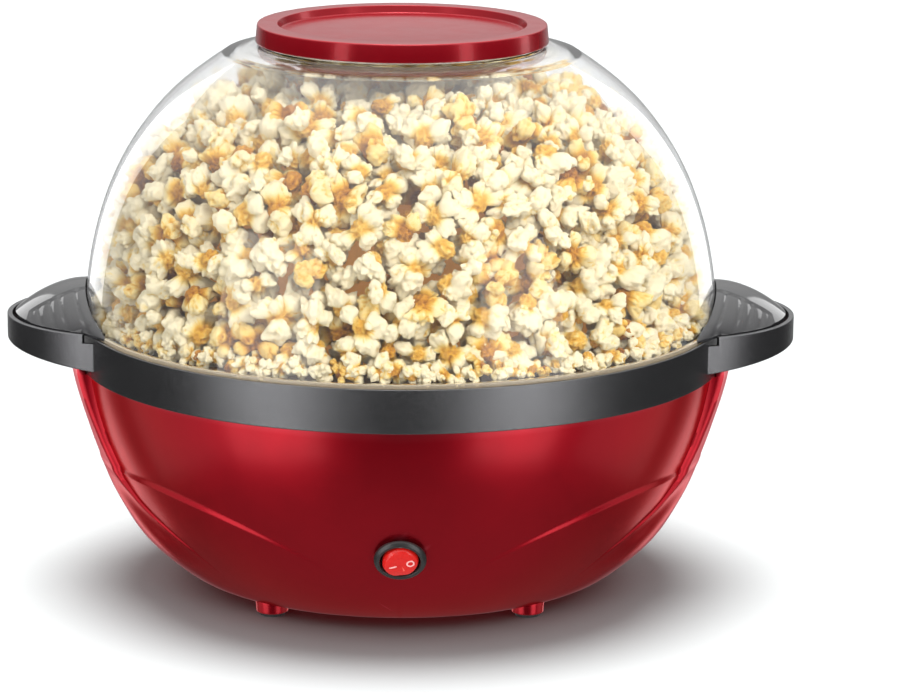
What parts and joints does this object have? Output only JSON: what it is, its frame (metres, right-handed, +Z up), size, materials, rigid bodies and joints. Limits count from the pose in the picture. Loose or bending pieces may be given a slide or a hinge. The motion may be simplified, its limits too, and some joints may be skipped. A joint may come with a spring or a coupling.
{
  "type": "popcorn maker",
  "caption": "Round electric stirring popcorn maker with a bowl-shaped base, handled ring, heated plate, driven stirrer, clear dome with butter well, and a lift-off cap.",
  "frame": {"origin": "on the axis of the round body, at the level its feet stand on", "axes": "+Z up, +X from handle to handle, -Y towards the front, where the switch is"},
  "size_m": [0.3838, 0.313, 0.2727],
  "materials": {
    "red_plastic": "glossy moulded plastic, deep red",
    "cap_plastic": "glossy moulded plastic, red",
    "black_plastic": "fine-grained moulded plastic, satin black",
    "clear_plastic": "clear moulded polycarbonate, polished",
    "switch_plastic": "satin black moulded plastic",
    "rocker_plastic": "translucent red moulded plastic, glossy",
    "rubber": "soft black rubber",
    "plate_coating": "aluminium with a dark grey non-stick coating, satin",
    "sheath_steel": "heat-darkened stainless sheath",
    "aluminium": "mill-finish sheet",
    "brass": "turned brass",
    "steel": "bright steel wire and bar",
    "zinc_steel": "zinc-plated steel",
    "ceramic": "unglazed ceramic",
    "hub_nylon": "heat-resistant black nylon",
    "gearbox_plastic": "grey moulded plastic",
    "wire_brown": "brown wire insulation",
    "wire_blue": "blue wire insulation",
    "wire_white": "white wire insulation"
  },
  "bodies": {
    "base": {"base_housing": "red_plastic", "base_screw_front_left": "zinc_steel", "base_screw_front_right": "zinc_steel", "base_screw_rear_left": "zinc_steel", "base_screw_rear_right": "zinc_steel", "bush_nut": "zinc_steel", "cord_gland": "switch_plastic", "foot_pad_front_left": "rubber", "foot_pad_front_right": "rubber", "foot_pad_rear_left": "rubber", "foot_pad_rear_right": "rubber", "gearbox": "gearbox_plastic", "handle_ring": "black_plastic", "heat_shield": "aluminium", "heating_element": "sheath_steel", "heating_plate": "plate_coating", "motor_bracket": "zinc_steel", "motor_can": "steel", "motor_screw_1": "zinc_steel", "motor_screw_2": "zinc_steel", "shaft_bush": "brass", "standoff_1": "steel", "standoff_2": "steel", "standoff_3": "steel", "standoff_nut_1": "zinc_steel", "standoff_nut_2": "zinc_steel", "standoff_nut_3": "zinc_steel", "switch_body": "switch_plastic", "terminal_block": "ceramic", "thermal_fuse": "steel", "thermostat": "ceramic", "wire_live": "wire_brown", "wire_neutral": "wire_blue", "wire_switched": "wire_white"},
    "drive_shaft": {"drive_shaft": "steel"},
    "stirrer": {"stirrer_hub": "hub_nylon", "stirrer_arm_1": "steel", "stirrer_arm_2": "steel"},
    "dome": {"dome": "clear_plastic"},
    "top_cap": {"top_cap": "cap_plastic"},
    "rocker": {"switch_rocker": "rocker_plastic"}
  },
  "joints": [
    {"name": "shaft_spin", "type": "hinge", "parent": "base", "child": "drive_shaft", "pos_m": [0, 0, 0.1], "axis": [0, 0, 1], "continuous": true},
    {"name": "stirrer_lift", "type": "slide", "parent": "drive_shaft", "child": "stirrer", "axis": [0, 0, 1], "range_m": [0, 0.09]},
    {"name": "dome_lift", "type": "slide", "parent": "base", "child": "dome", "axis": [0, 0, 1], "range_m": [0, 0.15]},
    {"name": "cap_lift", "type": "slide", "parent": "dome", "child": "top_cap", "axis": [0, 0, 1], "range_m": [0, 0.06]},
    {"name": "rocker_tilt", "type": "hinge", "parent": "base", "child": "rocker", "pos_m": [0, -0.13583, 0.04422], "axis": [0, 0.4848, -0.8746], "range_deg": [0, 16]}
  ]
}
